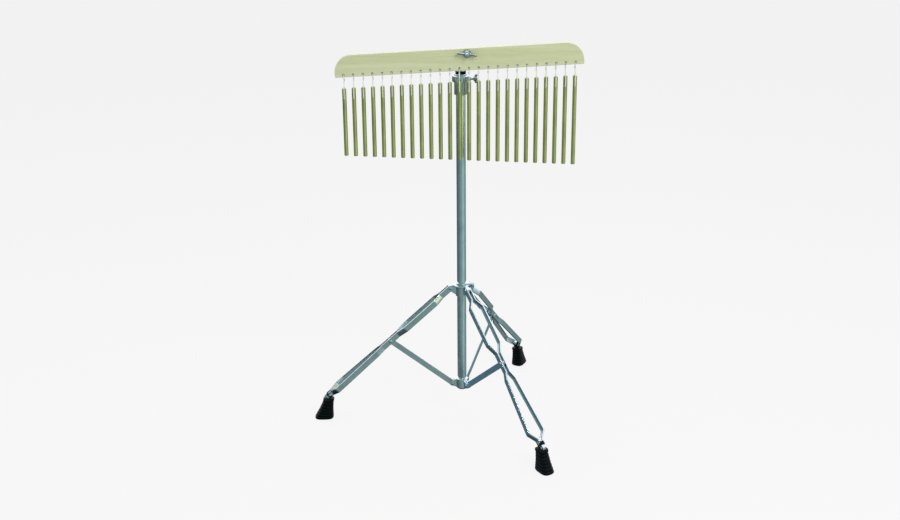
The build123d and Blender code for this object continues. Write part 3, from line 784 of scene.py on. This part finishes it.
def thread(radius, depth, pitch, start, end, rings_per_turn=10, segments=40):
    """A screw thread round +Z from start to end, where its tip is chamfered."""
    count = int(abs(end - start) / pitch * rings_per_turn)
    rings = []
    for i in range(count + 1):
        height = start + (end - start) * i / count
        fade = min(1.0, abs(end - height) / (pitch * 0.8))
        ring = []
        for a in angles(segments):
            phase = (height / pitch - a / math.tau) % 1.0
            cut = depth * abs(2 * phase - 1)
            r = radius - cut - (1 - fade) * depth * 1.4
            ring.append(Vector((r * math.cos(a), r * math.sin(a), height)))
        rings.append(ring)
    return loft(rings)


def mantle_bolt():
    """A carriage bolt: a domed head behind the clamp and a rolled thread through to the wing nut."""
    low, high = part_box("mantle_bolt")
    x, z = (low.x + high.x) / 2, (low.z + high.z) / 2
    block_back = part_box("mantle_clamp")[1].y
    matrix = along_axis(Vector((x, block_back, z)), Vector((0, -1, 0)), Vector((1, 0, 0)))
    length, plain = block_back - low.y, 22 * MM
    head_height, dome_steps = high.y - block_back, 12
    arc = [math.pi / 2 * k / dome_steps for k in range(dome_steps)]
    dome = [(BOLT_HEAD_R * math.cos(a), -head_height * math.sin(a)) for a in arc]
    head = lathe([(BOLT_R, 0.0), (BOLT_HEAD_R - 0.2 * MM, 0.0), *dome, (0.05 * MM, -head_height)], 64)
    shank = lathe([(BOLT_R, -0.5 * MM), (BOLT_R, plain)], 48)
    rolled = thread(BOLT_R, 0.45 * MM, 1.25 * MM, plain, length)
    parts = [placed(part, matrix) for part in (head, shank, rolled)]
    mesh = mesh_from("mantle_bolt", parts)
    finish_mesh("mantle_bolt_threaded", mesh, MATERIALS["hardware"], "swivel_clamp", "hardware_chrome",
                "mantle_bolt", crease=50)


def wing_screw(node, joint_name, body, axis, wing_side, hub_at, hub_size, span, thickness, tip_size):
    """A wing screw with a threaded shank. Its hub starts hub_at from the stand's axis, along axis."""
    matrix = along_axis(Vector(JOINTS[joint_name]["pos_m"]), axis, wing_side)
    radius, length = hub_size
    hub = [(radius * 0.96, 0), (radius, 0.4 * MM), (radius * 0.97, 1.4 * MM), (radius * 0.84, length * 0.6),
           (radius * 0.74, length - 0.7 * MM), (radius * 0.62, length)]
    hub = [(r, hub_at + h) for r, h in hub]
    rise = (hub_at + length * 0.38, hub_at + length * 0.78)
    wings = (span, rise, length * 0.62, tip_size, thickness)
    winged(node, matrix, hub, 0, wings, (0.3 * MM, 4), body)
    reach = (INNER_R if body == "clamp_screw" else BASE_R) + 0.3 * MM
    part = placed(thread(3.0 * MM, 0.35 * MM, 1.0 * MM, hub_at + 1.0 * MM, reach), matrix)
    name = f"{node}_thread"
    finish_mesh(name, mesh_from(name, [part]), MATERIALS["hardware"], body, "hardware_chrome", crease=50)


# ---------------------------------------------------------------- stage
# Light round the studio, by degrees to the right of the front, from below to just above the horizon.
GREY = (0.79, 1.0, 1.0)
BLUE = (0.45, 0.80, 1.15)
SIDES = [(-180, 0.09, GREY), (-135, 0.09, GREY), (-116, 0.28, BLUE), (-100, 0.12, GREY), (-50, 0.23, GREY),
         (-20, 0.32, GREY), (10, 0.37, GREY), (30, 0.48, GREY), (45, 0.70, GREY), (60, 0.50, GREY),
         (85, 0.42, GREY), (120, 0.34, GREY), (150, 0.17, GREY), (180, 0.09, GREY)]
CEILING_BACK, CEILING_FRONT = (1.75, 1.60, 1.78), (0.36, 0.42, 0.44)
CEILING_FROM = (1, 9)  # degrees above the horizon over which the sides give way to the ceiling
PIT = (0.07, 0.09, 0.10)
PIT_FROM = (-38, -52)


def stage():
    """A pale, softly glowing floor that rises into a wall all round."""
    material, shader = new_material("pale_floor")[:2]
    shader.inputs["Base Color"].default_value = (0.07, 0.07, 0.07, 1)
    shader.inputs["Roughness"].default_value = 0.9
    shader.inputs["Specular IOR Level"].default_value = 0.0
    shader.inputs["Emission Color"].default_value = (1, 1, 1, 1)
    shader.inputs["Emission Strength"].default_value = 0.84
    rise = [(0.01, 0.0), (2.0, 0.0), (9.0, 0.0), (12.0, 0.6), (14.0, 2.5), (15.0, 6.0), (15.2, 10.0)]
    below_feet = 0.2 * MM
    verts, faces = lathe([(radius, height - below_feet) for radius, height in rise], 96)
    open_above = faces[:-1]
    mesh = mesh_from("floor", [(verts, open_above)])
    for polygon in mesh.polygons:
        polygon.use_smooth = True
    mesh.materials.append(material)
    floor = new_object("floor", mesh)
    floor.visible_glossy = False


def studio_world():
    """Soft surroundings: dark behind, brighter to the front right, a bright ceiling and a dark pit below."""
    world = bpy.data.worlds.new("studio")
    world.use_nodes = True
    bpy.context.scene.world = world
    tree = world.node_tree
    add = node_adder(tree)
    place = add("ShaderNodeTexCoord")
    split = add("ShaderNodeSeparateXYZ", {0: place.outputs["Generated"]})
    front = calculated(add, "MULTIPLY", split.outputs["Y"], -1.0)
    turn = calculated(add, "ARCTAN2", split.outputs["X"], front)
    stops = [((degrees + 180) / 360, tinted(tint, level)) for degrees, level, tint in SIDES]
    sides = ramp(add, levels(add, turn, 0, 1, -math.pi, math.pi), stops)

    def blend(value, start, end, first, second):
        """Goes from first to second, each a colour or a socket, as value goes from start to end."""
        share = add("ShaderNodeMapRange", {"Value": value}, interpolation_type="SMOOTHSTEP",
                    From_Min=start, From_Max=end)
        both = add("ShaderNodeMix", {"Factor": share.outputs["Result"]}, data_type="RGBA")
        for socket, source in ((MIX_FIRST, first), (MIX_SECOND, second)):
            if isinstance(source, tuple):
                both.inputs[socket].default_value = (*source, 1)
            else:
                tree.links.new(source, both.inputs[socket])
        return both.outputs[MIX_RESULT]

    def sine(degrees):
        """The height, on a unit sphere, of a direction so far above the horizon."""
        return math.sin(math.radians(degrees))

    height = split.outputs["Z"]
    ceiling = blend(split.outputs["Y"], -0.45, 0.15, CEILING_FRONT, CEILING_BACK)
    colour = blend(height, sine(CEILING_FROM[0]), sine(CEILING_FROM[1]), sides, ceiling)
    colour = blend(height, sine(PIT_FROM[0]), sine(PIT_FROM[1]), colour, PIT)
    # Matt surfaces get most of their light from the lamps, so the surroundings count for less there.
    matt_share = 0.5
    path = add("ShaderNodeLightPath")
    strength = levels(add, path.outputs["Is Diffuse Ray"], 1.0, matt_share, 0.0, 1.0)
    background = tree.nodes["Background"]
    tree.links.new(colour, background.inputs["Color"])
    tree.links.new(strength, background.inputs["Strength"])


def area_light(name, place, target, size, power, seen_in_gloss, colour=(1, 1, 1)):
    """A square lamp at place that faces target."""
    data = bpy.data.lights.new(name, "AREA")
    data.size = size
    data.energy = power
    data.color = colour
    lamp = new_object(name, data)
    lamp.location = place
    lamp.rotation_mode = "QUATERNION"
    lamp.rotation_quaternion = (Vector(target) - Vector(place)).to_track_quat("-Z", "Y")
    lamp.visible_glossy = seen_in_gloss


def camera():
    """The viewpoint: in front, a little to the left of the post, and looking down."""
    pitch, roll = CAMERA_PITCH, CAMERA_ROLL
    level_right = Vector((1, 0, 0))
    level_up = Vector((0, math.sin(pitch), math.cos(pitch)))
    forward = Vector((0, math.cos(pitch), -math.sin(pitch)))
    right = level_right * math.cos(roll) + level_up * math.sin(roll)
    up = level_up * math.cos(roll) - level_right * math.sin(roll)
    data = bpy.data.cameras.new("camera")
    data.sensor_width = 36.0
    data.lens = CAMERA_LENS
    data.clip_end = 60.0
    eye = new_object("camera", data)
    matrix = Matrix((right, up, -forward)).transposed().to_4x4()
    matrix.translation = AXIS + CAMERA_PLACE
    eye.matrix_world = matrix
    bpy.context.scene.camera = eye


# ---------------------------------------------------------------- build
dress_cad_nodes()
stand_tube("base_tube", BASE_R, BASE_WALL, "base")
stand_tube("inner_tube", INNER_R, INNER_WALL, "mast")
for leg in LEG_AZIMUTHS:
    strap(leg, -1, f"leg_{leg}_left_channel")
    strap(leg, 1, f"leg_{leg}_right_channel")
    end_sleeve(leg)
    foot_boot(leg)
for index in range(1, CHIMES + 1):
    chime_bar(index)
    chime_cord(index)
mantle_nut()
mantle_bolt()
wing_screw("clamp_wing_screw", "clamp_screw_turn", "clamp_screw", Vector((1, 0, 0)), Z,
           INNER_R + 20.3 * MM, (5.2 * MM, 9.0 * MM), 10.8 * MM, 4.6 * MM, 7.4 * MM)
yawed = Vector((math.cos(TRIPOD_YAW), math.sin(TRIPOD_YAW), 0))
wing_screw("collar_wing_screw", "collar_screw_turn", "collar_screw", yawed, Z.cross(yawed),
           BASE_R + 11.9 * MM, (4.6 * MM, 7.5 * MM), 9.5 * MM, 4.2 * MM, 6.4 * MM)

stage()
studio_world()
area_light("key", (1.6, -2.4, 2.6), (0.05, 0, 0.7), 1.6, 60, False)
area_light("top", (0.1, 0.5, 3.0), (0.05, 0, 0.7), 1.5, 26, False)
area_light("fill", (-2.4, -1.6, 1.8), (0.05, 0, 0.7), 2.0, 22, False)
area_light("sparkle", (0.7, -1.5, 2.5), (0.05, 0, 0.8), 0.25, 7, True)
area_light("warm_card", (1.86, -1.6, 1.15), (0, 0, 0.33), 0.6, 1.5, True, (1.0, 0.80, 0.36))
camera()
bpy.context.scene.view_settings.view_transform = "Standard"
